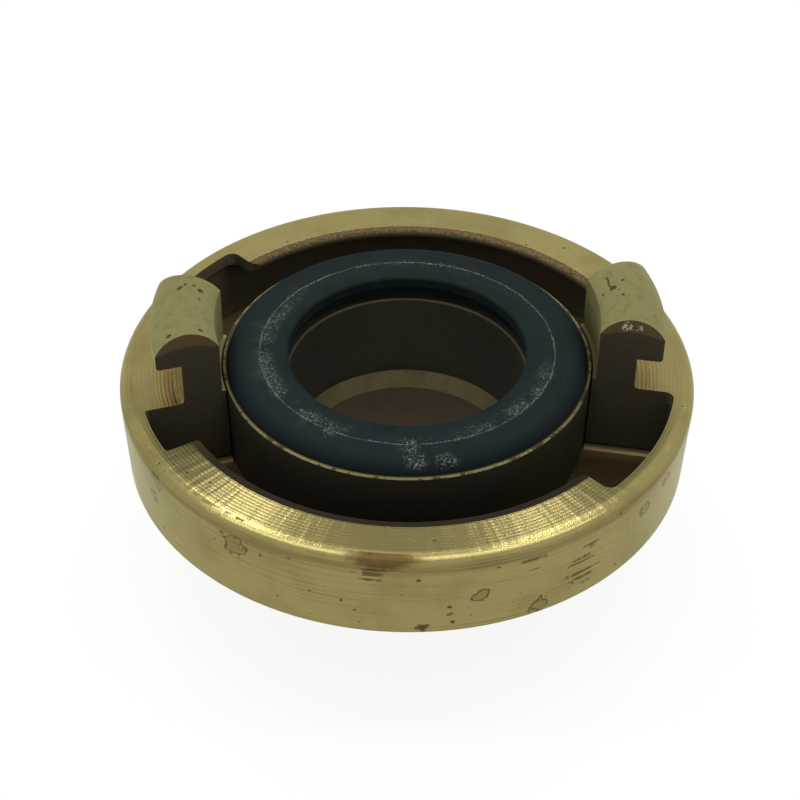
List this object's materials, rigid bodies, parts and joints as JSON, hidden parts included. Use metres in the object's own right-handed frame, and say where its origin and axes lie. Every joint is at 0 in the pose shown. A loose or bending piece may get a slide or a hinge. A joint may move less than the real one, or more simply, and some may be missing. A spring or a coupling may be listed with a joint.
{
  "type": "storz hose coupling adapter",
  "caption": "Brass Storz hose coupling half with a swivelling lug ring, rubber lip seal and male pipe-thread tail.",
  "frame": {"origin": "swivel axis at the flat face of the lug ring's lip, where two coupling halves meet", "axes": "+Z along the swivel axis towards the mating coupling, +X through the claws, the threaded tail points to -Z"},
  "size_m": [0.1, 0.1, 0.0553],
  "materials": {
    "lug_ring_brass": "turned and milled brass, darkened with pits and stains",
    "stem_brass": "turned brass, dull",
    "seal_rubber": "matt black rubber, dusty and scuffed",
    "spring_steel": "dark phosphated spring steel"
  },
  "bodies": {
    "tail": {"stem": "stem_brass", "seal": "seal_rubber", "snap_ring": "spring_steel"},
    "coupling_ring": {"lug_ring": "lug_ring_brass"}
  },
  "joints": [
    {"name": "ring_swivel", "type": "hinge", "parent": "tail", "child": "coupling_ring", "pos_m": [0, 0, 0], "axis": [0, 0, 1], "continuous": true}
  ]
}
